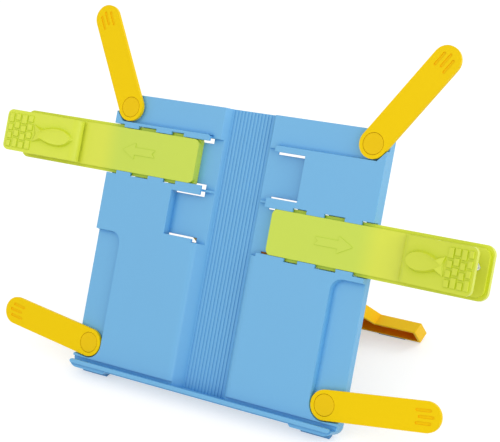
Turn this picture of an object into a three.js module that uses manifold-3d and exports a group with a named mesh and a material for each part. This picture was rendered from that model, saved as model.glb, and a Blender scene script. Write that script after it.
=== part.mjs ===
// Folding bookstand rack: a moulded panel that leans back on a hinged leg. Two slides run in tracks
// across the panel and carry sprung page clips, and four flat arms swing out to hold open pages.
//
// Millimetres, +Z up. The stand faces -Y and leans back towards +Y. The origin is on the table,
// under the middle of the whole stand. Most of it is drawn in the panel's own frame: X across,
// Y up the face from the bottom of the face, Z out of the face, with the face at Z = 0.

import * as THREE from 'three';
import { mergeVertices } from 'three/addons/utils/BufferGeometryUtils.js';
import Module from 'manifold-3d';

const wasm = await Module();
wasm.setup();

const DEG = Math.PI / 180;
const GAP = 0.3; // clearance between neighbouring pieces

// ---------------------------------------------------------------- driving dimensions

const LEAN = 28; // degrees that the panel leans back from the vertical

// back panel
const HALF_WIDTH = 120;
const TOP = 216.2;
const THICKNESS = 12.5;
const SKIN = 2.4; // wall thickness left over the hollows in the back
const RIB = 2;
const TOP_CORNER = 3;
const FOOT_CORNER = 8;

// book ledge along the bottom of the face
const SHELF_TOP = -4;
const SHELF_BOTTOM = -6.4;
const SHELF_FRONT = 4.5;
const LIP_FRONT = 7;
const LIP_TOP = -2.1;
const LIP_BOTTOM = -5.3;
const LIP_HALF = 117.6;
const FOOT_BOTTOM = -8.3;
const FOOT_INNER = 85.5;
const GUTTER_SETBACK = 2;

// spine channel down the middle
const CHANNEL_SHOULDER = 30; // where the face starts to round over
const CHANNEL_MOUTH = 24;
const CHANNEL_FLOOR_HALF = 18.5;
const CHANNEL_DEPTH = 10.5;
const GROOVE_COUNT = 12;
const GROOVE_PITCH = 3;
const GROOVE_WIDTH = 1.3;
const GROOVE_DEPTH = 0.5;

// slide tracks: each row has its own slide on one side and a short pocket on the other
const TRACK_DEPTH = 7.75;
const TRACK_START = 20;
const POCKET_END = 55.3;
const STRIP_END = 29.2; // the face-level strips between tracks and bays stop here
const STRIP_CORNER = 2;
// Pulled is how much further out a slide stands than the drawing of it.
const ROWS = [
  { side: -1, low: 150.73, high: 190.95, tipLow: 153.5, tipHigh: 188.55, pulled: 0.9 },
  { side: 1, low: 108.5, high: 148.9, tipLow: 111.2, tipHigh: 146.0, pulled: 0 },
];
const CLAWS = [
  [STRIP_END, 53.3],
  [64.8, 79.6],
  [96.6, 110.5],
];
const POCKET_LIP = [STRIP_END, POCKET_END];
const CLAW_THICKNESS = 2.5;
const SLOT_WIDTH = 3.9;
const SLOT_SKIN = 1; // the track's floor is this thin around the slots
const SLOT_MARGIN = 3.2; // how far the thin floor goes past a slot's ends

// bays that the arms fold into
const BAY_DEPTH = 4.8;
const BAY_DRAFT = 0.8; // how much wider a bay is at the face than at its floor
const TOP_BAY_LOW = 193.95;
const TOP_BAY_STOP = [113, 121]; // where the corner that stops the arm starts and ends
const TOP_BAY_STOP_HIGH = 203;
const SIDE_BAY_INNER = 95.8;
const SIDE_BAY_LOW = 1.4;
const SIDE_BAY_RISE = 1.5; // how much the side bay's lower edge climbs to the panel's edge
const SIDE_BAY_HIGH = 103.9;
const SIDE_BAY_CORNER = 9;
const HUB_CORNER = 11.5;

// page arms
const ARM_LENGTH = 78.7; // between the end centres
const ARM_HALF = 11.15;
const ARM_TOP = -0.2;
const ARM_THICKNESS = 3;
const HUB_RADIUS = 8;
const HEAD_RADIUS = 8;
const HEAD_THICKNESS = 1.5;
const SHANK_RADIUS = 3;
const BOSS_RADIUS = 9.5;
const BOSS_BACK = 9.5; // depth of the boss's rear face
const ARMS = [
  { name: 'top_left', x: -107.8, y: 205.3, angle: 119.3 },
  { name: 'top_right', x: 107.8, y: 205.3, angle: 56.3 },
  { name: 'bottom_left', x: -107.3, y: 12.9, angle: 172.5 },
  { name: 'bottom_right', x: 107.3, y: 12.9, angle: 7.5 },
];

// slides
const SLIDE_INNER = 36.85;
const SLIDE_OUTER = 211.5;
const FLANGE_HALF = 19.75;
const FLANGE_TOP = -3;
const PLATE_HALF = 17.27;
const PLATE_OUTER = 209.5;
const SLIDE_WALL = 1.8;
const SLIDE_BOTTOM = -(TRACK_DEPTH - GAP);

// clip levers, measured along the slide from the panel's middle
const HEEL = [150.3, 0.6]; // where the clip meets the page
const NOSE = [147.2, 2.2];
const FOREHEAD = [147.9, 7.9]; // pulls the nose's curve forward
const BROW = [151.4, 8.75]; // the ramp is measured from here
const RAMP_START = 154.5;
const PAD_END = [209.1, 24.7];
const PAD_RIM = 4.2;
const LEVER_HALF = 16.8;
const LEVER_WALL = 2.2;
const PIVOT = [170, 6.5];
const CLIP_PIN_RADIUS = 1.5;
const EAR_INNER = 9.5;
const EAR_OUTER = 13.6;

// clip springs
const SPRING_X = 201.1;
const SPRING_Y = 4;
const SPRING_RADIUS = 2.9; // of the wire's centre line
const WIRE_RADIUS = 0.4;
const SPRING_TURNS = 7;
const SPRING_BASE = 0.4;
const SPRING_TOP = 18.8;
const SPRING_POST = 1.4;

// rear leg: a tray hinged behind the panel, its hollow side towards the panel
const HINGE_Y = 128;
const HINGE_Z = -19;
const LEG_ANGLE = 63; // degrees between the leg and the panel when it stands
const LEG_LENGTH = 138.6; // from the hinge to the tray's lower rim
const LEG_SIDE = 6; // from the hinge axis to the tray's rim and to its outer face
const STEM_HALF = 52;
const FOOT_HALF = 118;
const KINK_HALF = 82;
const FOOT_START = 126.4;
const FLARE_START = 85;
const STEM_END = 1.5; // how far the tray's walls run past the hinge axis
const LEG_WALL = 2.2;
const SOLE_SLANT = 5.5; // how much further the outer face reaches than the rim
const TOP_SLANT = 6.4; // how much the foot bar's upper wall slopes
const LUG_INNER = 30;
const LUG_OUTER = 35.5;
const HEEL_REACH = 8;
const ROD_RADIUS = 2;

// anti-slip pads
const PAD_LENGTH = 24;
const PAD_DROP = 0.6; // how far the pads hold the plastic clear of the table
const FOOT_PAD_X = 101;
const LEG_PAD_X = 92;

// ---------------------------------------------------------------- solids

// A closed geometry becomes a solid that can be joined and cut.
function solid(geometry) {
  const bare = geometry.index ? geometry.toNonIndexed() : geometry.clone();
  bare.deleteAttribute('normal');
  bare.deleteAttribute('uv');
  const merged = mergeVertices(bare, 1e-4);
  return new wasm.Manifold(
    new wasm.Mesh({
      numProp: 3,
      vertProperties: new Float32Array(merged.attributes.position.array),
      triVerts: new Uint32Array(merged.index.array),
    }),
  );
}

function join(first, ...others) {
  return others.reduce((sum, other) => sum.add(other), first);
}

function cut(first, ...others) {
  return others.reduce((rest, other) => rest.subtract(other), first);
}

function geometryOf(body) {
  const mesh = body.getMesh();
  const geometry = new THREE.BufferGeometry();
  geometry.setAttribute('position', new THREE.BufferAttribute(new Float32Array(mesh.vertProperties), 3));
  geometry.setIndex(new THREE.BufferAttribute(new Uint32Array(mesh.triVerts), 1));
  const flat = geometry.toNonIndexed();
  flat.computeVertexNormals();
  return flat;
}

// A box between two corners, given as ranges.
function block([x0, x1], [y0, y1], [z0, z1]) {
  const geometry = new THREE.BoxGeometry(Math.abs(x1 - x0), y1 - y0, z1 - z0);
  geometry.translate((x0 + x1) / 2, (y0 + y1) / 2, (z0 + z1) / 2);
  return solid(geometry);
}

// An outline in X and Y given thickness along Z.
function slab(shape, z0, z1, curveSegments = 8) {
  const geometry = new THREE.ExtrudeGeometry(shape, {
    depth: z1 - z0,
    bevelEnabled: false,
    curveSegments,
  });
  geometry.translate(0, 0, z0);
  return solid(geometry);
}

// An outline in Y and Z given length along X.
function bar(shape, x0, x1, curveSegments = 12) {
  const geometry = new THREE.ExtrudeGeometry(shape, {
    depth: x1 - x0,
    bevelEnabled: false,
    curveSegments,
  });
  const across = new THREE.Matrix4().set(0, 0, 1, x0, 1, 0, 0, 0, 0, 1, 0, 0, 0, 0, 0, 1);
  geometry.applyMatrix4(across);
  return solid(geometry);
}

// An outline in X and Z given width along Y.
function strip(shape, y0, y1, curveSegments = 8) {
  const geometry = new THREE.ExtrudeGeometry(shape, {
    depth: y1 - y0,
    bevelEnabled: false,
    curveSegments,
  });
  geometry.rotateX(Math.PI / 2);
  geometry.translate(0, y1, 0);
  return solid(geometry);
}

// A round bar along Z.
function disc(radius, z0, z1, x = 0, y = 0, sides = 32) {
  const geometry = new THREE.CylinderGeometry(radius, radius, z1 - z0, sides);
  geometry.rotateX(Math.PI / 2);
  geometry.translate(x, y, (z0 + z1) / 2);
  return solid(geometry);
}

function outline(points) {
  return new THREE.Shape(points.map(([x, y]) => new THREE.Vector2(x, y)));
}

// A rectangle with its own radius at each corner, anticlockwise from the low corner.
function rounded([x0, x1], [y0, y1], [r0, r1, r2, r3]) {
  const shape = new THREE.Shape();
  shape.moveTo(x0 + r0, y0);
  shape.lineTo(x1 - r1, y0);
  if (r1) shape.absarc(x1 - r1, y0 + r1, r1, -Math.PI / 2, 0);
  shape.lineTo(x1, y1 - r2);
  if (r2) shape.absarc(x1 - r2, y1 - r2, r2, 0, Math.PI / 2);
  shape.lineTo(x0 + r3, y1);
  if (r3) shape.absarc(x0 + r3, y1 - r3, r3, Math.PI / 2, Math.PI);
  shape.lineTo(x0, y0 + r0);
  if (r0) shape.absarc(x0 + r0, y0 + r0, r0, Math.PI, Math.PI * 1.5);
  return shape;
}

function capsule(length, half) {
  const shape = new THREE.Shape();
  shape.moveTo(0, -half);
  shape.lineTo(length, -half);
  shape.absarc(length, 0, half, -Math.PI / 2, Math.PI / 2);
  shape.lineTo(0, half);
  shape.absarc(0, 0, half, Math.PI / 2, Math.PI * 1.5);
  return shape;
}

// Both mirror images of a range on one side of the middle.
function onSide(side, [inner, outer]) {
  return side > 0 ? [inner, outer] : [-outer, -inner];
}

// ---------------------------------------------------------------- materials

function plastic(color, roughness = 0.45) {
  return new THREE.MeshStandardMaterial({ color, roughness, metalness: 0 });
}

function steel(color, roughness = 0.3) {
  return new THREE.MeshStandardMaterial({ color, roughness, metalness: 1 });
}

const BLUE = plastic('#79b8e6');
const YELLOW = plastic('#f5d012');
const AMBER = plastic('#ebc01e');
const GREEN = plastic('#cde157');
const LIME = plastic('#d7e450');
const ORANGE = plastic('#f0b420');
const RUBBER = plastic('#5f9bd2', 0.9);
const BRIGHT_STEEL = steel('#c4c8cc');

// ---------------------------------------------------------------- frames

const stand = new THREE.Group();
const panelFrame = new THREE.Group();
panelFrame.rotation.x = (90 - LEAN) * DEG;
stand.add(panelFrame);

const legFrame = new THREE.Group();
legFrame.position.set(0, HINGE_Y, HINGE_Z);
legFrame.rotation.x = LEG_ANGLE * DEG;
panelFrame.add(legFrame);

function add(parent, name, body, material) {
  const mesh = new THREE.Mesh(geometryOf(body), material);
  mesh.name = name;
  parent.add(mesh);
  return mesh;
}

// ---------------------------------------------------------------- back panel

function panelOutline() {
  const shape = new THREE.Shape();
  shape.moveTo(FOOT_INNER, FOOT_BOTTOM);
  shape.lineTo(HALF_WIDTH - FOOT_CORNER, FOOT_BOTTOM);
  shape.absarc(HALF_WIDTH - FOOT_CORNER, FOOT_BOTTOM + FOOT_CORNER, FOOT_CORNER, -Math.PI / 2, 0);
  shape.lineTo(HALF_WIDTH, TOP - TOP_CORNER);
  shape.absarc(HALF_WIDTH - TOP_CORNER, TOP - TOP_CORNER, TOP_CORNER, 0, Math.PI / 2);
  shape.lineTo(TOP_CORNER - HALF_WIDTH, TOP);
  shape.absarc(TOP_CORNER - HALF_WIDTH, TOP - TOP_CORNER, TOP_CORNER, Math.PI / 2, Math.PI);
  shape.lineTo(-HALF_WIDTH, FOOT_BOTTOM + FOOT_CORNER);
  const turn = Math.PI * 1.5;
  shape.absarc(FOOT_CORNER - HALF_WIDTH, FOOT_BOTTOM + FOOT_CORNER, FOOT_CORNER, Math.PI, turn);
  shape.lineTo(-FOOT_INNER, FOOT_BOTTOM);
  shape.lineTo(-FOOT_INNER + 2, SHELF_BOTTOM);
  shape.lineTo(FOOT_INNER - 2, SHELF_BOTTOM);
  return shape;
}

// The moulding's outer form: face, gutter under the face, shelf, lip and feet.
function panelBody() {
  const full = [-HALF_WIDTH - 1, HALF_WIDTH + 1];
  const aboveFace = block(full, [SHELF_TOP, TOP + 1], [0, SHELF_FRONT + 1]);
  const gutter = block(full, [SHELF_TOP, 0], [-GUTTER_SETBACK, 1]);
  const body = cut(slab(panelOutline(), -THICKNESS, SHELF_FRONT), aboveFace, gutter);
  const lip = rounded([-LIP_HALF, LIP_HALF], [LIP_BOTTOM, LIP_TOP], [1.5, 1.5, 1.5, 1.5]);
  return join(body, slab(lip, SHELF_FRONT - 0.01, LIP_FRONT));
}

// The channel between the two halves of the face, with fine grooves along its floor.
function spineChannel() {
  const section = new THREE.Shape();
  section.moveTo(-CHANNEL_SHOULDER, 1);
  section.lineTo(-CHANNEL_SHOULDER, 0);
  section.quadraticCurveTo(-CHANNEL_MOUTH - 1.5, 0, -CHANNEL_MOUTH, -2);
  section.lineTo(-CHANNEL_FLOOR_HALF, -CHANNEL_DEPTH);
  section.lineTo(CHANNEL_FLOOR_HALF, -CHANNEL_DEPTH);
  section.lineTo(CHANNEL_MOUTH, -2);
  section.quadraticCurveTo(CHANNEL_MOUTH + 1.5, 0, CHANNEL_SHOULDER, 0);
  section.lineTo(CHANNEL_SHOULDER, 1);
  let channel = strip(section, SHELF_TOP, TOP + 1, 6);
  const grooveFloor = -CHANNEL_DEPTH - GROOVE_DEPTH;
  for (let i = 0; i < GROOVE_COUNT; i += 1) {
    const x = (i - (GROOVE_COUNT - 1) / 2) * GROOVE_PITCH;
    const range = [x - GROOVE_WIDTH / 2, x + GROOVE_WIDTH / 2];
    channel = join(channel, block(range, [SHELF_TOP, TOP + 1], [grooveFloor, -CHANNEL_DEPTH + 0.2]));
  }
  return channel;
}

// What one row takes out of the panel: the long track on its own side and the pocket opposite.
function trackSpace(row) {
  const own = onSide(row.side, [TRACK_START, HALF_WIDTH + 1]);
  const pocket = onSide(-row.side, [TRACK_START, POCKET_END]);
  return join(
    block(own, [row.low, row.high], [-TRACK_DEPTH, 1]),
    block(pocket, [row.low, row.high], [-TRACK_DEPTH, 1]),
  );
}

// The claws that hold the slide down, and the through slots that free them in the mould.
function clawRanges(row) {
  const own = CLAWS.map((range) => onSide(row.side, range));
  return [...own, onSide(-row.side, POCKET_LIP)];
}

function claws(row) {
  const pieces = clawRanges(row).flatMap((range) => [
    block(range, [row.tipHigh, row.high + 0.5], [-CLAW_THICKNESS, 0]),
    block(range, [row.low - 0.5, row.tipLow], [-CLAW_THICKNESS, 0]),
  ]);
  return join(...pieces);
}

function clawSlots(row) {
  const through = [-THICKNESS, -TRACK_DEPTH + 0.5];
  const behind = [-THICKNESS - 1, -TRACK_DEPTH - SLOT_SKIN];
  const pieces = clawRanges(row).flatMap(([x0, x1]) => {
    const wide = [x0 - SLOT_MARGIN, x1 + SLOT_MARGIN];
    return [
      block([x0, x1], [row.high - SLOT_WIDTH, row.high], through),
      block([x0, x1], [row.low, row.low + SLOT_WIDTH], through),
      block(wide, [row.high - SLOT_WIDTH - 1.5, row.high], behind),
      block(wide, [row.low, row.low + SLOT_WIDTH + 1.5], behind),
    ];
  });
  return join(...pieces);
}

// The bay along the top edge, with a slanted corner that stops the arm as it swings out.
function topBay(grow) {
  const low = TOP_BAY_LOW - grow;
  const [stopStart, stopEnd] = TOP_BAY_STOP;
  return outline([
    [TRACK_START, low],
    [stopStart, low],
    [stopEnd, TOP_BAY_STOP_HIGH - grow],
    [stopEnd, TOP + 1],
    [TRACK_START, TOP + 1],
  ]);
}

// The bay up the panel's edge. Its lower corner runs round the arm's hub.
function sideBay(grow) {
  const inner = SIDE_BAY_INNER - grow;
  const low = SIDE_BAY_LOW - grow;
  const high = SIDE_BAY_HIGH + grow;
  const outer = HALF_WIDTH + 1;
  const hub = HUB_CORNER + grow;
  const corner = SIDE_BAY_CORNER;
  const shape = new THREE.Shape();
  shape.moveTo(outer, low + SIDE_BAY_RISE);
  shape.lineTo(outer, high);
  shape.lineTo(inner + corner, high);
  shape.absarc(inner + corner, high - corner, corner, Math.PI / 2, Math.PI);
  shape.lineTo(inner, low + hub);
  shape.absarc(inner + hub, low + hub, hub, Math.PI, Math.PI * 1.5);
  return shape;
}

// A pocket that narrows a little from the face to its floor, so that it leaves the mould.
function drafted(bay) {
  const floor = slab(bay(0), -BAY_DEPTH, 0.01 - BAY_DEPTH, 10);
  return wasm.Manifold.hull([floor, slab(bay(BAY_DRAFT), 0, 1, 10)]);
}

// The low floors that the arms lie on when they are folded away.
function armBays() {
  const gap = block([TRACK_START, STRIP_END], [ROWS[1].high - 1, TOP_BAY_LOW + 1], [-BAY_DEPTH, 1]);
  const high = TOP_BAY_LOW - BAY_DRAFT;
  const tip = [STRIP_END + STRIP_CORNER, high - STRIP_CORNER];
  const square = block([STRIP_END - 0.1, tip[0]], [tip[1], high + 0.1], [-BAY_DEPTH, 1]);
  const corner = cut(square, disc(STRIP_CORNER, -BAY_DEPTH - 1, 2, ...tip));
  const right = join(drafted(topBay), drafted(sideBay), gap, corner);
  return join(right, right.mirror([1, 0, 0]));
}

// Hollows in the back, ribbed like any deep moulding, under a skin of even thickness.
function backHollows() {
  const pieces = [];
  const hollow = (x, y, level) => {
    pieces.push(block(x, y, [-THICKNESS - 1, -level - SKIN]));
  };
  for (const side of [-1, 1]) {
    const xs = (range) => onSide(side, range);
    hollow(xs([33, 60]), [195.5, 214], BAY_DEPTH);
    hollow(xs([60 + RIB, 92]), [195.5, 214], BAY_DEPTH);
    for (const y of [[4, 37], [37 + RIB, 70], [70 + RIB, 102]]) {
      hollow(xs([34, 63]), y, 0);
      hollow(xs([63 + RIB, 95 - RIB]), y, 0);
    }
    hollow(xs([SIDE_BAY_INNER + RIB, 117]), [28, 60], BAY_DEPTH);
    hollow(xs([SIDE_BAY_INNER + RIB, 117]), [60 + RIB, 92], BAY_DEPTH);
  }
  for (const row of ROWS) {
    const y = [row.low + 3, row.high - 3];
    hollow(onSide(-row.side, [POCKET_END + SKIN, 86]), y, 0);
    hollow(onSide(-row.side, [86 + RIB, 117]), y, 0);
  }
  return join(...pieces);
}

// Seats for the arm pins: the hole, and a round pocket behind for the ring.
function pinSeat({ x, y }) {
  const pocket = disc(BOSS_RADIUS, -THICKNESS - 1, -BOSS_BACK, x, y);
  return join(disc(SHANK_RADIUS + GAP, -THICKNESS, 0, x, y), pocket);
}

// Lugs behind the panel that carry the leg's hinge rod.
function lug(side) {
  const shape = new THREE.Shape();
  shape.moveTo(HINGE_Y - LEG_SIDE, HINGE_Z);
  shape.absarc(HINGE_Y, HINGE_Z, LEG_SIDE, Math.PI, Math.PI * 2);
  shape.lineTo(HINGE_Y + LEG_SIDE + 3, -THICKNESS + 0.5);
  shape.lineTo(HINGE_Y - LEG_SIDE - 3, -THICKNESS + 0.5);
  const bore = new THREE.Path();
  bore.absarc(HINGE_Y, HINGE_Z, ROD_RADIUS + GAP, 0, Math.PI * 2);
  shape.holes.push(bore);
  return bar(shape, ...onSide(side, [LUG_INNER, LUG_OUTER]));
}

function backPanel(padRecess) {
  let body = cut(panelBody(), spineChannel(), armBays());
  for (const row of ROWS) {
    body = join(cut(body, trackSpace(row)), claws(row));
    body = cut(body, clawSlots(row));
  }
  body = cut(body, backHollows(), ...ARMS.map(pinSeat));
  return cut(join(body, lug(-1), lug(1)), padRecess);
}

// ---------------------------------------------------------------- page arms and their pins

const ARM_UNDER = ARM_TOP - ARM_THICKNESS;
const HUB_UNDER = -BAY_DEPTH + GAP;

// A flat arm along +X from its pivot, with finger grooves at the free end.
function pageArm() {
  let arm = slab(capsule(ARM_LENGTH, ARM_HALF), ARM_UNDER, ARM_TOP, 16);
  arm = join(arm, disc(HUB_RADIUS, HUB_UNDER, ARM_UNDER + 0.01));
  for (const y of [-4.6, 0, 4.6]) {
    const groove = capsule(10, 1.1);
    const reach = y === 0 ? ARM_LENGTH - 5 : ARM_LENGTH - 7;
    const placed = new THREE.ExtrudeGeometry(groove, { depth: 1, bevelEnabled: false, curveSegments: 6 });
    placed.translate(reach, y, ARM_TOP - 0.6);
    arm = cut(arm, solid(placed));
  }
  const headSeat = disc(HEAD_RADIUS + GAP, ARM_TOP - HEAD_THICKNESS - GAP, ARM_TOP + 1);
  return cut(arm, headSeat, disc(SHANK_RADIUS + GAP, HUB_UNDER - 1, ARM_TOP));
}

const RING_FRONT = -BOSS_BACK - GAP;
const RING_BACK = RING_FRONT - 1.2;

// A headed pin with a groove near its tail for the ring.
function armPin() {
  const profile = [
    [0, ARM_TOP],
    [HEAD_RADIUS, ARM_TOP],
    [HEAD_RADIUS, ARM_TOP - HEAD_THICKNESS],
    [SHANK_RADIUS, ARM_TOP - HEAD_THICKNESS],
    [SHANK_RADIUS, RING_FRONT + GAP],
    [SHANK_RADIUS - 0.8, RING_FRONT + GAP],
    [SHANK_RADIUS - 0.8, RING_BACK - GAP],
    [SHANK_RADIUS, RING_BACK - GAP],
    [SHANK_RADIUS - 0.4, -THICKNESS + 0.2],
    [0, -THICKNESS + 0.2],
  ];
  const points = profile.reverse().map(([r, z]) => new THREE.Vector2(r, z));
  const geometry = new THREE.LatheGeometry(points, 24);
  geometry.rotateX(Math.PI / 2);
  return solid(geometry);
}

// A push-on ring with an open side, which grips the pin's groove.
function retainingRing() {
  const ring = new THREE.Shape();
  ring.absarc(0, 0, 6.5, 0, Math.PI * 2);
  const bore = new THREE.Path();
  bore.absarc(0, 0, SHANK_RADIUS - 0.5, 0, Math.PI * 2);
  ring.holes.push(bore);
  const mouth = block([0, 8], [-1.6, 1.6], [RING_BACK - 1, RING_FRONT + 1]);
  return cut(slab(ring, RING_BACK, RING_FRONT, 16), mouth);
}

// ---------------------------------------------------------------- slides and clips

const EAR_TOP = PIVOT[1] + 3.2;

// A raised arrow that points the way the slide pulls out.
function arrow() {
  return slab(
    outline([
      [75.5, -3],
      [95, -3],
      [95, -6.5],
      [107, 0],
      [95, 6.5],
      [95, 3],
      [75.5, 3],
      [78.5, 0],
    ]),
    -0.2,
    0.4,
  );
}

// One slide, drawn along +X from the panel's middle with its top face at Z = 0.
function slide() {
  const flange = rounded([SLIDE_INNER, SLIDE_OUTER], [-FLANGE_HALF, FLANGE_HALF], [4, 7, 7, 4]);
  const plate = rounded([SLIDE_INNER, PLATE_OUTER], [-PLATE_HALF, PLATE_HALF], [4.5, 6, 6, 4.5]);
  let body = join(slab(flange, SLIDE_BOTTOM, FLANGE_TOP), slab(plate, FLANGE_TOP - 0.5, 0));
  const inside = PLATE_HALF - SLIDE_WALL;
  const starts = [SLIDE_INNER + SLIDE_WALL, 70, 103, 136, 178];
  starts.forEach((x, i) => {
    const end = i + 1 < starts.length ? starts[i + 1] - RIB : PLATE_OUTER - SLIDE_WALL;
    body = cut(body, block([x, end], [-inside, inside], [SLIDE_BOTTOM - 1, -2.2]));
  });
  const post = disc(SPRING_POST, -0.2, 3.2, SPRING_X, SPRING_Y, 12);
  return join(body, arrow(), post, ear(-1), ear(1));
}

// An ear on the slide, bored for the clip's hinge pin.
function ear(side) {
  const shape = new THREE.Shape();
  shape.moveTo(PIVOT[0] - 6, -0.3);
  shape.lineTo(PIVOT[0] + 6, -0.3);
  shape.lineTo(PIVOT[0] + 3.2, PIVOT[1]);
  shape.absarc(PIVOT[0], PIVOT[1], EAR_TOP - PIVOT[1], 0, Math.PI);
  const bore = new THREE.Path();
  bore.absarc(PIVOT[0], PIVOT[1], CLIP_PIN_RADIUS + GAP, 0, Math.PI * 2);
  shape.holes.push(bore);
  const [y0, y1] = onSide(side, [EAR_INNER, EAR_OUTER]);
  return strip(shape, y0, y1, 8);
}

const RAMP_ANGLE = Math.atan2(PAD_END[1] - BROW[1], PAD_END[0] - BROW[0]);

// The lever's side view: a rounded nose that pinches the page, then a long thumb ramp. With
// an inset it is the shell's hollow, which is open below.
function leverProfile(inset) {
  const rampHeight = BROW[1] + (RAMP_START - BROW[0]) * Math.tan(RAMP_ANGLE);
  const end = PAD_END[0] - inset;
  const shape = new THREE.Shape();
  shape.moveTo(HEEL[0] + inset, HEEL[1] - inset);
  shape.lineTo(NOSE[0] + inset * 1.3, NOSE[1]);
  const forehead = [FOREHEAD[0] + inset * 1.2, FOREHEAD[1] - inset];
  shape.quadraticCurveTo(...forehead, RAMP_START + inset * 0.3, rampHeight - inset);
  shape.lineTo(end, PAD_END[1] - inset * 1.3);
  shape.lineTo(end, PAD_END[1] - PAD_RIM - inset);
  shape.lineTo(185, 13.2 - inset * 3);
  shape.quadraticCurveTo(179, 11, 176, 3.4 - inset);
  shape.quadraticCurveTo(174, 1.2 - inset, 170, 1.0 - inset);
  return shape;
}

// A relief on the ramp. It rises from a base outline to a smaller top outline with the same
// number of points, drawn along the ramp from the brow, to a height that varies along it.
function relief(base, top, heightAt) {
  const sunk = -0.6; // how far it starts below the ramp
  const count = base.length;
  const positions = [];
  for (const { x, y } of base) positions.push(x, y, sunk);
  for (const { x, y } of top) positions.push(x, y, heightAt(x));
  const index = [];
  for (let i = 0; i < count; i += 1) {
    const next = (i + 1) % count;
    index.push(i, next, count + i, next, count + next, count + i);
  }
  for (const [a, b, c] of THREE.ShapeUtils.triangulateShape(base, [])) index.push(a, c, b);
  for (const [a, b, c] of THREE.ShapeUtils.triangulateShape(top, [])) {
    index.push(count + a, count + b, count + c);
  }
  const geometry = new THREE.BufferGeometry();
  geometry.setAttribute('position', new THREE.Float32BufferAttribute(positions, 3));
  geometry.setIndex(index);
  geometry.rotateY(-RAMP_ANGLE);
  geometry.translate(BROW[0], 0, BROW[1]);
  return solid(geometry);
}

// A plain fish: a pointed oval body and a forked tail towards the pad.
function fishOutline({ head, cheek, back, neck, tip, fork }) {
  const shape = new THREE.Shape();
  shape.moveTo(head, 0);
  shape.bezierCurveTo(cheek[0], -cheek[1], back[0], -back[1], neck[0], -neck[1]);
  shape.lineTo(tip[0], -tip[1]);
  shape.lineTo(fork, 0);
  shape.lineTo(tip[0], tip[1]);
  shape.lineTo(neck[0], neck[1]);
  shape.bezierCurveTo(back[0], back[1], cheek[0], cheek[1], head, 0);
  return shape.getPoints(9).slice(0, -1);
}

const FISH_BASE = {
  head: -0.2,
  cheek: [4.8, 9.5],
  back: [16.2, 10],
  neck: [27, 5.3],
  tip: [35.4, 7.4],
  fork: 34.2,
};
const FISH_TOP = {
  head: 2.5,
  cheek: [3.9, 5.5],
  back: [13.2, 9.2],
  neck: [28.3, 3.1],
  tip: [34.9, 6.9],
  fork: 32.6,
};
const FISH_HIGH = 2.6;
const FISH_TAIL_HIGH = 0.7;

function fish() {
  const heightAt = (x) => {
    const along = (x - FISH_TOP.neck[0]) / (FISH_TOP.tip[0] - FISH_TOP.neck[0]);
    const share = Math.min(1, Math.max(0, along));
    return FISH_HIGH + (FISH_TAIL_HIGH - FISH_HIGH) * share;
  };
  return relief(fishOutline(FISH_BASE), fishOutline(FISH_TOP), heightAt);
}

// Brick ribs in four columns, which give the thumb its grip. Each column has one long brick,
// at alternate ends.
const BRICK_COLUMNS = [
  [36.8, 41],
  [42.3, 46.6],
  [48.2, 52.1],
  [54, 57.5],
];
const BRICK_ROWS = [-13.6, 13.8];
const BRICK_SHORT = 4.9;
const BRICK_LONG = 7.1;
const BRICK_GAP = 1.85;
const BRICK_HIGH = 0.9;
const BRICK_SLOPE = 0.35;

function thumbBricks() {
  const rectangle = (x0, x1, y0, y1, grow) => [
    new THREE.Vector2(x0 - grow, y0 - grow),
    new THREE.Vector2(x1 + grow, y0 - grow),
    new THREE.Vector2(x1 + grow, y1 + grow),
    new THREE.Vector2(x0 - grow, y1 + grow),
  ];
  const pieces = [];
  BRICK_COLUMNS.forEach(([x0, x1], column) => {
    const longAtTop = column % 2 === 0;
    let y = BRICK_ROWS[0];
    for (let row = 0; row < 4; row += 1) {
      const long = longAtTop ? row === 3 : row === 0;
      const end = y + (long ? BRICK_LONG : BRICK_SHORT);
      const base = rectangle(x0, x1, y, end, BRICK_SLOPE);
      pieces.push(relief(base, rectangle(x0, x1, y, end, 0), () => BRICK_HIGH));
      y = end + BRICK_GAP;
    }
  });
  return join(...pieces);
}

function clipLever() {
  const plan = rounded([NOSE[0] - 1, PAD_END[0]], [-LEVER_HALF, LEVER_HALF], [0, 4.5, 4.5, 0]);
  let lever = slab(plan, -5, 30);
  lever = lever.intersect(strip(leverProfile(0), -LEVER_HALF - 1, LEVER_HALF + 1));
  const inside = LEVER_HALF - LEVER_WALL;
  const hollow = slab(rounded([140, PAD_END[0] - LEVER_WALL], [-inside, inside], [0, 3, 3, 0]), -6, 30);
  lever = cut(lever, hollow.intersect(strip(leverProfile(LEVER_WALL), -inside - 1, inside + 1)));
  const bore = new THREE.CylinderGeometry(CLIP_PIN_RADIUS + GAP, CLIP_PIN_RADIUS + GAP, 50, 24);
  bore.translate(PIVOT[0], 0, PIVOT[1]);
  return join(cut(lever, solid(bore)), fish(), thumbBricks());
}

function clipPin() {
  const pin = new THREE.CylinderGeometry(CLIP_PIN_RADIUS, CLIP_PIN_RADIUS, LEVER_HALF * 2 - 0.8, 24);
  pin.translate(PIVOT[0], 0, PIVOT[1]);
  return solid(pin);
}

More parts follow.
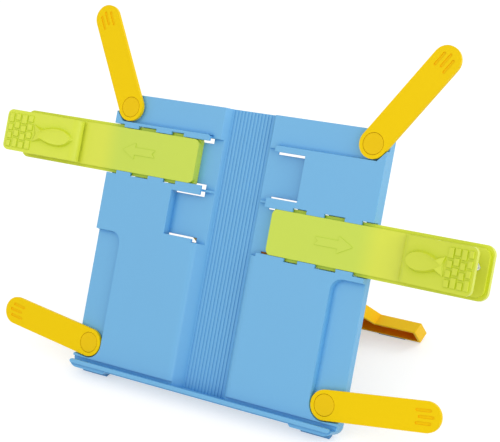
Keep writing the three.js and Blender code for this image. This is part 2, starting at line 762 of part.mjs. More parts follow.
// A compression spring as one unbroken tube. Its ends run straight up for one wire diameter.
function springGeometry() {
  const steps = 8;
  const sides = 5;
  const count = SPRING_TURNS * steps;
  const rise = SPRING_TOP - SPRING_BASE - WIRE_RADIUS * 2;
  const centres = [];
  for (let i = 0; i <= count; i += 1) {
    const angle = (i / steps) * Math.PI * 2;
    const height = SPRING_BASE + WIRE_RADIUS + (rise * i) / count;
    centres.push(new THREE.Vector3(SPRING_RADIUS * Math.cos(angle), SPRING_RADIUS * Math.sin(angle), height));
  }
  const positions = [];
  const index = [];
  centres.forEach((centre, i) => {
    const angle = (i / steps) * Math.PI * 2;
    const outward = new THREE.Vector3(Math.cos(angle), Math.sin(angle), 0);
    for (let k = 0; k < sides; k += 1) {
      const a = (k / sides) * Math.PI * 2;
      const point = centre.clone().addScaledVector(outward, WIRE_RADIUS * Math.cos(a));
      point.z += WIRE_RADIUS * Math.sin(a);
      positions.push(point.x, point.y, point.z);
    }
  });
  for (let i = 0; i < count; i += 1) {
    for (let k = 0; k < sides; k += 1) {
      const a = i * sides + k;
      const b = i * sides + ((k + 1) % sides);
      index.push(a, a + sides, b, b, a + sides, b + sides);
    }
  }
  const last = count * sides;
  for (let k = 1; k < sides - 1; k += 1) {
    index.push(0, k, k + 1);
    index.push(last, last + k + 1, last + k);
  }
  const geometry = new THREE.BufferGeometry();
  geometry.setAttribute('position', new THREE.Float32BufferAttribute(positions, 3));
  geometry.setIndex(index);
  return { geometry, centres };
}

// The least clear space between one turn of the wire and the next.
function springGap(centres) {
  let least = Infinity;
  centres.forEach((centre, i) => {
    for (let j = i + 5; j < centres.length; j += 1) {
      least = Math.min(least, centre.distanceTo(centres[j]));
    }
  });
  return least - WIRE_RADIUS * 2;
}

// ---------------------------------------------------------------- rear leg

// The tray's outline, drawn down from the hinge: a stem that flares out to a wide foot bar.
function legOutline(inset) {
  const stem = STEM_HALF - inset;
  const foot = FOOT_HALF - inset;
  const kink = KINK_HALF - inset * 0.5;
  const flare = -FLARE_START - inset * 0.6;
  const start = -FOOT_START - inset;
  const end = -LEG_LENGTH - SOLE_SLANT - 4;
  const half = [
    [stem, flare],
    [kink, start],
    [foot, start],
    [foot, end],
  ];
  const mirrored = half.map(([x, y]) => [-x, y]);
  return outline([[-stem, STEM_END], ...mirrored, ...half.reverse(), [stem, STEM_END]]);
}

// The tray between two levels. The foot bar's upper wall leans up towards the rim.
function slopedTray(inset, z0, z1) {
  const geometry = new THREE.ExtrudeGeometry(legOutline(inset), { depth: 1, bevelEnabled: false });
  const position = geometry.attributes.position;
  for (let i = 0; i < position.count; i += 1) {
    const z = position.getZ(i) > 0.5 ? z1 : z0;
    const y = position.getY(i);
    const onUpperWall = y < -FOOT_START + 5 && y > -FOOT_START - inset - 1;
    const lean = onUpperWall ? (TOP_SLANT * (z + LEG_SIDE)) / (LEG_SIDE * 2) : 0;
    position.setY(i, y + lean);
    position.setZ(i, z);
  }
  return solid(geometry);
}

// Everything past the slanted sole.
function beyondSole(inset) {
  const far = LEG_LENGTH + 40;
  const slope = SOLE_SLANT / (LEG_SIDE * 2);
  const at = (z) => -(LEG_LENGTH - inset + (LEG_SIDE - z) * slope);
  const shape = outline([
    [at(20), 20],
    [-far, 20],
    [-far, -20],
    [at(-20), -20],
  ]);
  return bar(shape, -FOOT_HALF - 5, FOOT_HALF + 5);
}

function rod(radius, half, sides = 24) {
  const geometry = new THREE.CylinderGeometry(radius, radius, half * 2, sides);
  geometry.rotateZ(Math.PI / 2);
  return solid(geometry);
}

function rearLeg(padRecess) {
  const shell = cut(slopedTray(0, -LEG_SIDE, LEG_SIDE), beyondSole(0));
  const hollow = cut(slopedTray(LEG_WALL, LEG_WALL - LEG_SIDE, LEG_SIDE + 1), beyondSole(LEG_WALL));
  let leg = join(cut(shell, hollow), rod(LEG_SIDE, STEM_HALF, 32));
  const ribs = [-26, 0, 26].map((x) =>
    block([x - RIB / 2, x + RIB / 2], [-LEG_LENGTH + 1, -4], [LEG_WALL - LEG_SIDE - 0.5, LEG_SIDE - 2]),
  );
  leg = join(leg, ...ribs);
  const heels = [-1, 1].map((side) =>
    block(onSide(side, [8, 24]), [0, HEEL_REACH], [-LEG_SIDE + 0.5, -2]),
  );
  leg = join(leg, ...heels);
  const lugGaps = [-1, 1].map((side) =>
    block(onSide(side, [LUG_INNER - 0.5, LUG_OUTER + 0.5]), [-LEG_SIDE - 4, LEG_SIDE + 3], [-10, 10]),
  );
  return cut(leg, ...lugGaps, rod(ROD_RADIUS + GAP, STEM_HALF + 5), padRecess);
}

// ---------------------------------------------------------------- pads

// The table's height in the tilted frame: just under the panel's lower back edge.
const toTable = new THREE.Matrix4().makeRotationX((90 - LEAN) * DEG);
const backEdge = new THREE.Vector3(0, FOOT_BOTTOM, -THICKNESS).applyMatrix4(toTable);
const TABLE = backEdge.z - PAD_DROP;

// A pad lying flat on the table, in table directions: along X, from the back edge forward, and up.
function padGeometry(x, back, depth, height, grow) {
  const geometry = new THREE.BoxGeometry(PAD_LENGTH + grow * 2, depth + grow * 2, height + grow);
  geometry.translate(x, back - depth / 2, TABLE + (height + grow) / 2);
  return geometry;
}

// The pads wedge into the plastic above them, so each is cut to the sole it sits in.
function pads(frame, x, back, depth, height, sole) {
  frame.updateWorldMatrix(true, false);
  const intoFrame = frame.matrixWorld.clone().invert();
  return [-1, 1].map((side) => {
    const pad = padGeometry(side * x, back, depth, height, 0).applyMatrix4(intoFrame);
    const room = padGeometry(side * x, back, depth, height, GAP).applyMatrix4(intoFrame);
    return { side, pad: sole ? solid(pad).intersect(sole) : solid(pad), room: solid(room) };
  });
}

const panelPads = pads(
  panelFrame,
  FOOT_PAD_X,
  backEdge.y - 0.8,
  5,
  4,
  block([-HALF_WIDTH, HALF_WIDTH], [FOOT_BOTTOM - 10, FOOT_BOTTOM + 1], [-40, 20]),
);

legFrame.updateWorldMatrix(true, false);
const rim = new THREE.Vector3(0, -LEG_LENGTH, LEG_SIDE).applyMatrix4(legFrame.matrixWorld);
const legPads = pads(legFrame, LEG_PAD_X, rim.y + 5.6, 5, 2.2, null);

// ---------------------------------------------------------------- assembly

function recessFor(list, limit) {
  const rooms = list.map(({ room }) => (limit ? room.intersect(limit) : room));
  return join(...rooms);
}

const footRoom = block(
  [-HALF_WIDTH, HALF_WIDTH],
  [FOOT_BOTTOM - 10, FOOT_BOTTOM + 1 + GAP],
  [-40, 20],
);
add(panelFrame, 'back_panel', backPanel(recessFor(panelPads, footRoom)), BLUE);

for (const arm of ARMS) {
  const pivot = new THREE.Group();
  pivot.position.set(arm.x, arm.y, 0);
  pivot.rotation.z = arm.angle * DEG;
  panelFrame.add(pivot);
  add(pivot, `arm_${arm.name}`, pageArm(), YELLOW);
  add(pivot, `arm_pin_${arm.name}`, armPin(), AMBER);
  add(pivot, `pin_ring_${arm.name}`, retainingRing(), BRIGHT_STEEL);
}

const spring = springGeometry();
console.log('least gap between the spring turns', springGap(spring.centres).toFixed(2));

for (const row of ROWS) {
  const name = row.side > 0 ? 'right' : 'left';
  const runner = new THREE.Group();
  runner.position.set(row.side * row.pulled, (row.low + row.high) / 2, 0);
  runner.rotation.z = row.side > 0 ? 0 : Math.PI;
  panelFrame.add(runner);
  add(runner, `slide_${name}`, slide(), GREEN);
  add(runner, `clip_lever_${name}`, clipLever(), LIME);
  add(runner, `clip_pin_${name}`, clipPin(), BRIGHT_STEEL);
  const coil = new THREE.Mesh(spring.geometry.toNonIndexed(), BRIGHT_STEEL);
  coil.geometry.computeVertexNormals();
  coil.name = `clip_spring_${name}`;
  coil.position.set(SPRING_X, SPRING_Y, 0);
  runner.add(coil);
}

add(legFrame, 'rear_leg', rearLeg(recessFor(legPads)), ORANGE);
add(legFrame, 'leg_hinge_rod', rod(ROD_RADIUS, STEM_HALF - 1), BRIGHT_STEEL);

for (const { side, pad } of panelPads) {
  add(panelFrame, side > 0 ? 'foot_pad_right' : 'foot_pad_left', pad, RUBBER);
}
for (const { side, pad } of legPads) {
  add(legFrame, side > 0 ? 'leg_pad_right' : 'leg_pad_left', pad, RUBBER);
}

// Sets the whole stand on the table, over the middle of its own footprint.
stand.updateWorldMatrix(true, true);
const bounds = new THREE.Box3().setFromObject(stand, true);
const middle = bounds.getCenter(new THREE.Vector3());
panelFrame.position.set(-middle.x, -middle.y, -bounds.min.z);
stand.updateWorldMatrix(true, true);

export default stand;
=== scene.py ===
import math

import bmesh
import bpy
from mathutils import Matrix, Quaternion, Vector


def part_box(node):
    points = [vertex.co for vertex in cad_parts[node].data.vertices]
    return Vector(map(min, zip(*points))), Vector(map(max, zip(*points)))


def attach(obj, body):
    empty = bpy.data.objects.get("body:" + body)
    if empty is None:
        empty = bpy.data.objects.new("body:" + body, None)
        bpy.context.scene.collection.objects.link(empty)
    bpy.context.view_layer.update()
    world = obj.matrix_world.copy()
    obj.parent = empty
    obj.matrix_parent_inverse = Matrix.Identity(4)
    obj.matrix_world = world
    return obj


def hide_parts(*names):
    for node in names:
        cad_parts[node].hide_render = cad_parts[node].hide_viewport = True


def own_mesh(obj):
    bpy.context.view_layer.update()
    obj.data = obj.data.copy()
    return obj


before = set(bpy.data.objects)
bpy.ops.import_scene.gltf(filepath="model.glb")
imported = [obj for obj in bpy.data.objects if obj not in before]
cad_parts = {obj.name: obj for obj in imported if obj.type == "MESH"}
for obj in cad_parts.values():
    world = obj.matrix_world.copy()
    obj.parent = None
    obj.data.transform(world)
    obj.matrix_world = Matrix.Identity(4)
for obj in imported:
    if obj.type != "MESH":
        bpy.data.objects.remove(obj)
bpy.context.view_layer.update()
MM = 0.001


# ------------------------------------------------------------------ the panel's lean
# The stand is drawn leaning back. The springs stand square to the panel's face, so they are
# made upright and then turned with it.

LEAN = math.radians(28)
turn = Matrix.Rotation(math.pi / 2 - LEAN, 4, "X")
FACE_NORMAL = (turn @ Vector((0, 0, 1))).normalized()


# ------------------------------------------------------------------ camera
# The stand is seen from the front right and from above, with the picture turned a little,
# so the panel's foot runs down to the right.

EYE = Vector((494.65, -754.16, 543.8)) * MM
LOOK_AT = Vector((19.78, -15.17, 131.75)) * MM
PICTURE_TURN = math.radians(-4.283)
SENSOR = 36.0
FOCAL = 92.44

camera_data = bpy.data.cameras.new("camera")
camera_data.sensor_width = SENSOR
camera_data.lens = FOCAL
camera_data.clip_start = 0.01
camera = bpy.data.objects.new("camera", camera_data)
bpy.context.scene.collection.objects.link(camera)
sight = LOOK_AT - EYE
level = sight.to_track_quat("-Z", "Y")
camera.rotation_mode = "QUATERNION"
camera.rotation_quaternion = Quaternion(sight.normalized(), -PICTURE_TURN) @ level
camera.location = EYE
bpy.context.scene.camera = camera


# ------------------------------------------------------------------ floor and light
# A plain pale floor and a white room. Broad lamps stand at the front left, low at the front
# right, at the right and behind at the right, so no side is left dark.

FLOOR_SIZE = 12.0
FLOOR_TONE = 0.66
ROOM_LIGHT = 0.71
FLOOR_GLOW = 0.5


def lamp(name, place, aim, size, power):
    """A round lamp of the given width, turned to the point it lights."""
    data = bpy.data.lights.new(name, "AREA")
    data.shape = "DISK"
    data.size = size
    data.energy = power
    obj = bpy.data.objects.new(name, data)
    bpy.context.scene.collection.objects.link(obj)
    obj.location = place
    obj.rotation_mode = "QUATERNION"
    obj.rotation_quaternion = (Vector(aim) - Vector(place)).to_track_quat("-Z", "Y")


lamp("key_lamp", place=(-0.9, -1.8, 1.9), aim=(0, 0, 0.12), size=2.0, power=9.5)
lamp("low_lamp", place=(1.7, -2.2, 0.35), aim=(0.05, 0, 0.08), size=1.3, power=9.5)
lamp("side_lamp", place=(2.3, -0.5, 1.1), aim=(0, 0, 0.12), size=1.8, power=14)
lamp("back_lamp", place=(1.3, 1.6, 1.7), aim=(0, 0, 0.1), size=1.4, power=11)


def maths(tree, operation, *terms):
    """One step of arithmetic on numbers and on other nodes' outputs."""
    node = tree.nodes.new("ShaderNodeMath")
    node.operation = operation
    for socket, term in zip(node.inputs, terms):
        if isinstance(term, bpy.types.NodeSocket):
            tree.links.new(term, socket)
        else:
            socket.default_value = term
    return node.outputs[0]


def white_where_seen(tree, unseen, seen):
    """A strength for the white of the room or floor, where it is looked at or mirrored, and
    another for the light it gives."""
    paths = tree.nodes.new("ShaderNodeLightPath")
    looked_at = paths.outputs["Is Camera Ray"]
    for ray in ("Is Glossy Ray", "Is Transmission Ray"):
        looked_at = maths(tree, "MAXIMUM", looked_at, paths.outputs[ray])
    strength = tree.nodes.new("ShaderNodeMapRange")
    strength.inputs["To Min"].default_value = unseen
    strength.inputs["To Max"].default_value = seen
    tree.links.new(looked_at, strength.inputs["Value"])
    return strength.outputs["Result"]


world = bpy.data.worlds.new("white_room")
bpy.context.scene.world = world
world.use_nodes = True
tree = world.node_tree
tree.nodes.clear()
background = tree.nodes.new("ShaderNodeBackground")
background.inputs["Color"].default_value = (1, 1, 1, 1)
tree.links.new(white_where_seen(tree, ROOM_LIGHT, 1.0), background.inputs["Strength"])
world_output = tree.nodes.new("ShaderNodeOutputWorld")
tree.links.new(background.outputs[0], world_output.inputs["Surface"])

floor_mesh = bpy.data.meshes.new("floor")
half = FLOOR_SIZE / 2
corners = [(-half, -half, 0), (half, -half, 0), (half, half, 0), (-half, half, 0)]
floor_mesh.from_pydata(corners, [], [(0, 1, 2, 3)])
floor = bpy.data.objects.new("floor", floor_mesh)
bpy.context.scene.collection.objects.link(floor)

floor_material = bpy.data.materials.new("pale_floor")
floor_material.use_nodes = True
tree = floor_material.node_tree
tree.nodes.clear()
matt = tree.nodes.new("ShaderNodeBsdfDiffuse")
matt.inputs["Color"].default_value = (FLOOR_TONE, FLOOR_TONE, FLOOR_TONE, 1)
glow = tree.nodes.new("ShaderNodeEmission")
tree.links.new(white_where_seen(tree, 0.0, FLOOR_GLOW), glow.inputs["Strength"])
both = tree.nodes.new("ShaderNodeAddShader")
tree.links.new(matt.outputs[0], both.inputs[0])
tree.links.new(glow.outputs[0], both.inputs[1])
floor_output = tree.nodes.new("ShaderNodeOutputMaterial")
tree.links.new(both.outputs[0], floor_output.inputs["Surface"])
floor_mesh.materials.append(floor_material)


# ------------------------------------------------------------------ back panel
# One thin-walled moulding in light blue plastic, with a fine satin skin. Its edges are
# softened as a mould leaves them, and the tracks, bays and ledge are part of it.

PANEL_EDGE = 0.45 * MM
PANEL_BLUE = (0.165, 0.468, 0.775)
PATCHES_PER_M = 18  # the slow changes of tone
POLISH_SWING = 0.22  # how far the roughness changes with them
PAINTED_SHADE_SAMPLES = 12


def add_sockets(group, in_out, **kinds):
    """Gives a node group its inputs or outputs, each with its kind."""
    for name, kind in kinds.items():
        label = name.replace("_", " ")
        group.interface.new_socket(label, in_out=in_out, socket_type=f"NodeSocket{kind}")


def moulded_skin_and_shade():
    """A satin moulded surface: slow tone changes, painted shade that darkens and deepens the
    colour in the inner corners, fine grain and a roughness to match."""
    group = bpy.data.node_groups.new("moulded skin and painted shade", "ShaderNodeTree")
    add_sockets(
        group,
        "INPUT",
        Colour="Color",
        Roughness="Float",
        Mottle="Float",
        Grain_per_m="Float",
        Corner_depth="Float",
        Corner_reach="Float",
    )
    add_sockets(group, "OUTPUT", Colour="Color", Roughness="Float", Height="Float")
    nodes, links = group.nodes, group.links
    given = nodes.new("NodeGroupInput")
    result = nodes.new("NodeGroupOutput")
    place = nodes.new("ShaderNodeTexCoord")

    flow = nodes.new("ShaderNodeTexNoise")
    flow.inputs["Scale"].default_value = PATCHES_PER_M
    flow.inputs["Detail"].default_value = 3
    links.new(place.outputs["Object"], flow.inputs["Vector"])
    centred = maths(group, "SUBTRACT", flow.outputs["Fac"], 0.5)
    tone = maths(group, "MULTIPLY_ADD", centred, given.outputs["Mottle"], 1.0)
    tint = nodes.new("ShaderNodeHueSaturation")
    links.new(given.outputs["Colour"], tint.inputs["Color"])
    links.new(tone, tint.inputs["Value"])

    # Painted shade: the colour is darkened and deepened where the piece's own walls close in
    # round the surface.
    corners = nodes.new("ShaderNodeAmbientOcclusion")
    corners.only_local = True
    corners.samples = PAINTED_SHADE_SAMPLES
    links.new(given.outputs["Corner reach"], corners.inputs["Distance"])
    painted_shade = maths(group, "SUBTRACT", 1.0, corners.outputs["AO"])
    power = maths(group, "MULTIPLY_ADD", painted_shade, given.outputs["Corner depth"], 1.0)
    shaded_colour = nodes.new("ShaderNodeGamma")
    links.new(tint.outputs["Color"], shaded_colour.inputs["Color"])
    links.new(power, shaded_colour.inputs["Gamma"])
    links.new(shaded_colour.outputs["Color"], result.inputs["Colour"])

    grain = nodes.new("ShaderNodeTexNoise")
    grain.inputs["Detail"].default_value = 4
    grain.inputs["Roughness"].default_value = 0.6
    links.new(place.outputs["Object"], grain.inputs["Vector"])
    links.new(given.outputs["Grain per m"], grain.inputs["Scale"])
    links.new(grain.outputs["Fac"], result.inputs["Height"])

    polish = maths(group, "MULTIPLY_ADD", centred, POLISH_SWING, given.outputs["Roughness"])
    links.new(polish, result.inputs["Roughness"])
    return group


SKIN_AND_SHADE = moulded_skin_and_shade()


def plastic(
    name,
    colour,
    roughness=0.42,
    mottle=0.05,
    grain=2600,
    depth=0.02,
    gloss=0.5,
    corners=1.0,
    reach=4 * MM,
):
    """A moulded plastic. Gloss is how strongly its skin mirrors the room, and corners how
    strongly painted shade darkens its colour in the inner corners, within the given reach; every
    plastic has some."""
    material = bpy.data.materials.new(name)
    material.use_nodes = True
    nodes, links = material.node_tree.nodes, material.node_tree.links
    shader = nodes["Principled BSDF"]
    skin = nodes.new("ShaderNodeGroup")
    skin.node_tree = SKIN_AND_SHADE
    settings = {
        "Colour": (*colour, 1),
        "Roughness": roughness,
        "Mottle": mottle,
        "Grain per m": grain,
        "Corner depth": corners,
        "Corner reach": reach,
    }
    for socket, value in settings.items():
        skin.inputs[socket].default_value = value
    links.new(skin.outputs["Colour"], shader.inputs["Base Color"])
    links.new(skin.outputs["Roughness"], shader.inputs["Roughness"])
    bump = nodes.new("ShaderNodeBump")
    bump.inputs["Strength"].default_value = depth
    bump.inputs["Distance"].default_value = 0.1 * MM
    links.new(skin.outputs["Height"], bump.inputs["Height"])
    links.new(bump.outputs["Normal"], shader.inputs["Normal"])
    shader.inputs["Specular IOR Level"].default_value = gloss
    return material


SAME_PLACE = 0.004 * MM
FLAT_WITHIN = math.radians(0.6)


def loose_copy(node, name):
    """A clean copy of a solid's mesh, with its flat faces made whole again."""
    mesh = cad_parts[node].data.copy()
    mesh.name = name
    shape = bmesh.new()
    shape.from_mesh(mesh)
    bmesh.ops.remove_doubles(shape, verts=shape.verts, dist=SAME_PLACE)
    bmesh.ops.dissolve_limit(
        shape,
        angle_limit=FLAT_WITHIN,
        verts=shape.verts,
        edges=shape.edges,
        use_dissolve_boundaries=False,
    )
    shape.to_mesh(mesh)
    shape.free()
    mesh.materials.clear()
    obj = bpy.data.objects.new(name, mesh)
    bpy.context.scene.collection.objects.link(obj)
    return obj


def settle(obj):
    """Makes the modifiers' result the object's own mesh."""
    bpy.context.view_layer.update()
    graph = bpy.context.evaluated_depsgraph_get()
    mesh = bpy.data.meshes.new_from_object(obj.evaluated_get(graph), depsgraph=graph)
    mesh.name = obj.name
    obj.modifiers.clear()
    old = obj.data
    obj.data = mesh
    bpy.data.meshes.remove(old)
    return obj


def room(edge, face):
    """How far a face goes on, straight in from an edge, before it meets another of its edges."""
    start, end = (v.co for v in edge.verts)
    along = (end - start).normalized()
    inward = face.normal.cross(along)
    loop = next(c for c in edge.link_loops if c.face is face)
    if loop.vert is not edge.verts[0]:
        inward.negate()
    nearest = 1.0
    others = [other for other in face.edges if other is not edge]
    for share in (0.03, 0.25, 0.5, 0.75, 0.97):
        foot = start.lerp(end, share)
        for other in others:
            a, b = (v.co - foot for v in other.verts)
            a_along, b_along = a.dot(along), b.dot(along)
            if a_along * b_along > 0 or abs(a_along - b_along) < 1e-9:
                continue
            part = a_along / (a_along - b_along)
            distance = a.dot(inward) + part * (b.dot(inward) - a.dot(inward))
            if 1e-7 < distance < nearest:
                nearest = distance
    return nearest


STRAIGHT_ON = -0.7  # two edges that meet more openly than this make one run


def smooth_runs(edges):
    """Groups edges into runs that go on without a corner."""
    left = set(edges)
    runs = []
    while left:
        run = [left.pop()]
        for edge in run:
            for vert in edge.verts:
                here = (edge.other_vert(vert).co - vert.co).normalized()
                for other in [e for e in vert.link_edges if e in left]:
                    there = (other.other_vert(vert).co - vert.co).normalized()
                    if here.dot(there) < STRAIGHT_ON:
                        left.remove(other)
                        run.append(other)
        runs.append(run)
    return runs


OUTER_EDGE = math.radians(32)  # edges that turn further than this are rounded
SHARP_EDGE = math.radians(37)  # and those left sharper than this stay crisp
ROUND_SHARE = 0.4  # of the room beside an edge, at most


def soften(obj, radius):
    """Rounds the outer edges as a mould does, less where there is little room, and leaves
    inner corners."""
    shape = bmesh.new()
    shape.from_mesh(obj.data)
    share = shape.edges.layers.float.new("bevel_weight_edge")
    outer = [
        edge
        for edge in shape.edges
        if len(edge.link_faces) == 2 and edge.calc_face_angle_signed() > OUTER_EDGE
    ]
    for run in smooth_runs(outer):
        space = min(room(edge, face) for edge in run for face in edge.link_faces)
        for edge in run:
            edge[share] = min(1.0, ROUND_SHARE * space / radius)
    shape.to_mesh(obj.data)
    shape.free()
    bevel = obj.modifiers.new("edges", "BEVEL")
    bevel.width = radius
    bevel.segments = 3
    bevel.limit_method = "WEIGHT"
    bevel.use_clamp_overlap = False
    bevel.loop_slide = False
    settle(obj)

    shape = bmesh.new()
    shape.from_mesh(obj.data)
    for face in shape.faces:
        face.smooth = True
    for edge in shape.edges:
        edge.smooth = edge.calc_face_angle(0.0) < SHARP_EDGE
    shape.to_mesh(obj.data)
    shape.free()
    flat = obj.modifiers.new("flats", "WEIGHTED_NORMAL")
    flat.keep_sharp = True
    return settle(obj)


def fit(obj, node, body, material):
    """Puts the piece in the place of its solid."""
    obj.data.materials.clear()
    obj.data.materials.append(material)
    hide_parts(node)
    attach(obj, body)


# The blue's colour is darkened a little in its inner corners as painted shade.
blue = plastic("light_blue_plastic", PANEL_BLUE, roughness=0.43, mottle=0.04, corners=0.6)
panel = soften(loose_copy("back_panel", "back_panel_moulding"), PANEL_EDGE)
fit(panel, "back_panel", "stand", blue)


# ------------------------------------------------------------------ rear leg and its rod
# A shallow T-shaped tray in orange-yellow plastic, hinged behind the panel on a plain
# steel rod. Its rim and ribs are left soft by the mould.

LEG_EDGE = 0.6 * MM
LEG_ORANGE = (0.97, 0.59, 0.01)

# Painted shade: the orange is darkened and reddened far into the leg's hollow, where shade
# falls.
orange = plastic(
    "orange_plastic", LEG_ORANGE, roughness=0.4, gloss=0.08, corners=1.8, reach=18 * MM
)
leg = soften(loose_copy("rear_leg", "rear_leg_tray"), LEG_EDGE)
fit(leg, "rear_leg", "leg", orange)


ROD_EDGE = 0.4 * MM
STEEL_GREY = (0.62, 0.63, 0.65)
STEEL_GLINT = [tone * 1.15 for tone in STEEL_GREY]
STEEL_ROUGHNESS = 0.24
STREAKS_PER_M = 900


def bright_steel():
    """Drawn steel, with faint streaks in its shine."""
    material = bpy.data.materials.new("bright_steel")
    material.use_nodes = True
    nodes, links = material.node_tree.nodes, material.node_tree.links
    shader = nodes["Principled BSDF"]
    shader.inputs["Metallic"].default_value = 1.0
    place = nodes.new("ShaderNodeTexCoord")
    streaks = nodes.new("ShaderNodeTexNoise")
    streaks.inputs["Scale"].default_value = STREAKS_PER_M
    streaks.inputs["Detail"].default_value = 3
    links.new(place.outputs["Object"], streaks.inputs["Vector"])
    shine = nodes.new("ShaderNodeMapRange")
    shine.inputs["To Min"].default_value = STEEL_ROUGHNESS * 0.7
    shine.inputs["To Max"].default_value = STEEL_ROUGHNESS * 1.4
    links.new(streaks.outputs["Fac"], shine.inputs["Value"])
    links.new(shine.outputs["Result"], shader.inputs["Roughness"])
    tone = nodes.new("ShaderNodeMix")
    tone.data_type = "RGBA"
    tone.inputs["A"].default_value = (*STEEL_GREY, 1)
    tone.inputs["B"].default_value = (*STEEL_GLINT, 1)
    links.new(streaks.outputs["Fac"], tone.inputs["Factor"])
    links.new(tone.outputs["Result"], shader.inputs["Base Color"])
    return material


steel = bright_steel()
rod = soften(loose_copy("leg_hinge_rod", "leg_hinge_rod_turned"), ROD_EDGE)
fit(rod, "leg_hinge_rod", "stand", steel)


# ------------------------------------------------------------------ anti-slip pads
# Soft pads in the panel's blue, let into the feet of the panel and of the leg, flat where
# they meet the table.

PAD_EDGE = 0.2 * MM
PAD_BLUE = (0.115, 0.33, 0.62)

rubber = plastic(
    "blue_rubber", PAD_BLUE, roughness=0.75, mottle=0.08, grain=1500, depth=0.08
)
for side in ("left", "right"):
    for kind, body in (("foot_pad", "stand"), ("leg_pad", "leg")):
        node = f"{kind}_{side}"
        pad = soften(loose_copy(node, f"{node}_moulded"), PAD_EDGE)
        fit(pad, node, body, rubber)


# ------------------------------------------------------------------ page arms
# Four flat yellow arms, each on a headed pin whose disc lies flush in the arm. An open
# ring grips the pin's tail behind the panel.

ARM_EDGE = 0.7 * MM
HEAD_EDGE = 0.15 * MM
RING_EDGE = 0.15 * MM
ARM_YELLOW = (0.94, 0.64, 0.003)
PIN_AMBER = (0.90, 0.59, 0.007)

yellow = plastic("yellow_plastic", ARM_YELLOW, roughness=0.4, mottle=0.03, gloss=0.06)
amber = plastic("amber_plastic", PIN_AMBER, roughness=0.42, mottle=0.06, gloss=0.06)
for corner in ("top_left", "top_right", "bottom_left", "bottom_right"):
    arm = soften(loose_copy(f"arm_{corner}", f"page_arm_{corner}"), ARM_EDGE)
    fit(arm, f"arm_{corner}", f"arm_{corner}", yellow)
    pin = soften(loose_copy(f"arm_pin_{corner}", f"pivot_pin_{corner}"), HEAD_EDGE)
    fit(pin, f"arm_pin_{corner}", "stand", amber)
    ring = soften(loose_copy(f"pin_ring_{corner}", f"pivot_ring_{corner}"), RING_EDGE)
    fit(ring, f"pin_ring_{corner}", "stand", steel)


# ------------------------------------------------------------------ slides
# Two yellow-green slides, each a shallow tray with a flange along both sides that the
# panel's claws hold down. The raised arrow shows which way it pulls out, and the outer end
# is painted a little lighter, as painted light falling on it.

SLIDE_EDGE = 0.6 * MM
SLIDE_GREEN = (0.60, 0.735, 0.068)
# The lighter green is painted light on the slides' outer ends.
SLIDE_LIT = (0.73, 0.79, 0.058)
LIT_FROM = 0.108  # from the stand's middle
LIT_TO = 0.130


def paint_light_on_ends(material, colour, lit_colour):
    """Paints light: lets a plastic's colour turn lighter away from the stand's middle."""
    tree = material.node_tree
    nodes, links = tree.nodes, tree.links
    place = nodes.new("ShaderNodeTexCoord")
    axes = nodes.new("ShaderNodeSeparateXYZ")
    links.new(place.outputs["Object"], axes.inputs[0])
    lit_share = nodes.new("ShaderNodeMapRange")
    lit_share.interpolation_type = "SMOOTHSTEP"
    lit_share.inputs["From Min"].default_value = LIT_FROM
    lit_share.inputs["From Max"].default_value = LIT_TO
    links.new(maths(tree, "ABSOLUTE", axes.outputs["X"]), lit_share.inputs["Value"])
    mixed = nodes.new("ShaderNodeMix")
    mixed.data_type = "RGBA"
    mixed.inputs["A"].default_value = (*colour, 1)
    mixed.inputs["B"].default_value = (*lit_colour, 1)
    links.new(lit_share.outputs["Result"], mixed.inputs["Factor"])
    skin = next(node for node in nodes if node.type == "GROUP")
    links.new(mixed.outputs["Result"], skin.inputs["Colour"])


green = plastic("green_plastic", SLIDE_GREEN, roughness=0.4, mottle=0.04)
paint_light_on_ends(green, SLIDE_GREEN, SLIDE_LIT)
for side in ("left", "right"):
    slide = soften(loose_copy(f"slide_{side}", f"page_slide_{side}"), SLIDE_EDGE)
    fit(slide, f"slide_{side}", f"slide_{side}", green)


# ------------------------------------------------------------------ clip levers
# Each lever is a yellow-green shell that rocks on a steel pin. A plain fish stands on its
# thumb ramp, and staggered bricks on the pad give grip.

LEVER_EDGE = 0.45 * MM
LEVER_PIN_EDGE = 0.25 * MM
CLIP_LIME = (0.685, 0.765, 0.047)

# Painted shade darkens the lime round the fish and in the lever's hollows.
lime = plastic(
    "lime_plastic", CLIP_LIME, roughness=0.4, mottle=0.04, corners=1.3, reach=6 * MM
)
for side in ("left", "right"):
    lever = soften(loose_copy(f"clip_lever_{side}", f"thumb_lever_{side}"), LEVER_EDGE)
    fit(lever, f"clip_lever_{side}", f"clip_{side}", lime)
    pin = soften(loose_copy(f"clip_pin_{side}", f"lever_pin_{side}"), LEVER_PIN_EDGE)
    fit(pin, f"clip_pin_{side}", f"slide_{side}", steel)


# ------------------------------------------------------------------ clip springs
# A steel compression spring stands between each slide and its thumb pad. The wire is one
# even coil.

WIRE_RADIUS = 0.4 * MM
COIL_RADIUS = 2.9 * MM
COIL_TURNS = 7
COIL_HEIGHT = 17.6 * MM
STEPS_PER_TURN = 32
WIRE_SIDES = 12


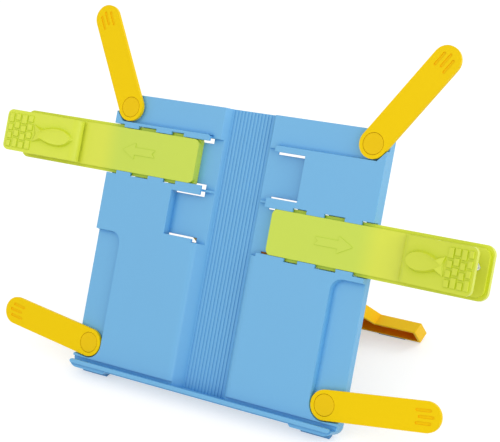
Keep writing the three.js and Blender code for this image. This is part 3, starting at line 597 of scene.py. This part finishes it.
def coil_tree():
    """A coil of wire, from its number of turns, radius and height."""
    group = bpy.data.node_groups.new("coil of wire", "GeometryNodeTree")
    add_sockets(
        group,
        "INPUT",
        Geometry="Geometry",
        Turns="Float",
        Radius="Float",
        Height="Float",
        Wire="Float",
        Steel="Material",
    )
    add_sockets(group, "OUTPUT", Geometry="Geometry")
    nodes, links = group.nodes, group.links
    given = nodes.new("NodeGroupInput")
    result = nodes.new("NodeGroupOutput")
    spiral = nodes.new("GeometryNodeCurveSpiral")
    spiral.inputs["Resolution"].default_value = STEPS_PER_TURN
    links.new(given.outputs["Turns"], spiral.inputs["Rotations"])
    links.new(given.outputs["Radius"], spiral.inputs["Start Radius"])
    links.new(given.outputs["Radius"], spiral.inputs["End Radius"])
    links.new(given.outputs["Height"], spiral.inputs["Height"])
    section = nodes.new("GeometryNodeCurvePrimitiveCircle")
    section.inputs["Resolution"].default_value = WIRE_SIDES
    links.new(given.outputs["Wire"], section.inputs["Radius"])
    wire = nodes.new("GeometryNodeCurveToMesh")
    wire.inputs["Fill Caps"].default_value = True
    links.new(spiral.outputs["Curve"], wire.inputs["Curve"])
    links.new(section.outputs["Curve"], wire.inputs["Profile Curve"])
    smooth = nodes.new("GeometryNodeSetShadeSmooth")
    links.new(wire.outputs["Mesh"], smooth.inputs["Geometry"])
    whole = nodes.new("GeometryNodeRealizeInstances")
    links.new(smooth.outputs["Geometry"], whole.inputs["Geometry"])
    coat = nodes.new("GeometryNodeSetMaterial")
    links.new(whole.outputs["Geometry"], coat.inputs["Geometry"])
    links.new(given.outputs["Steel"], coat.inputs["Material"])
    links.new(coat.outputs["Geometry"], result.inputs["Geometry"])
    return group


def set_input(modifier, name, value):
    items = modifier.node_group.interface.items_tree
    socket = next(s for s in items if s.name == name and s.in_out == "INPUT")
    modifier[socket.identifier] = value


COIL = coil_tree()
for side in ("left", "right"):
    low, high = (Vector(v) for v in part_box(f"clip_spring_{side}"))
    middle = (low + high) / 2
    base = middle - FACE_NORMAL * (COIL_HEIGHT / 2)
    coil = bpy.data.objects.new(f"coil_spring_{side}", bpy.data.meshes.new("coil"))
    bpy.context.scene.collection.objects.link(coil)
    modifier = coil.modifiers.new("coil", "NODES")
    modifier.node_group = COIL
    for name, value in (
        ("Turns", COIL_TURNS),
        ("Radius", COIL_RADIUS),
        ("Height", COIL_HEIGHT),
        ("Wire", WIRE_RADIUS),
        ("Steel", steel),
    ):
        set_input(modifier, name, value)
    settle(coil)
    coil.data.transform(Matrix.Translation(base) @ turn)
    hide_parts(f"clip_spring_{side}")
    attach(coil, f"slide_{side}")
    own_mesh(coil)


# ------------------------------------------------------------------ colour view
# Colours are shown as they are.

bpy.context.scene.view_settings.view_transform = "Standard"
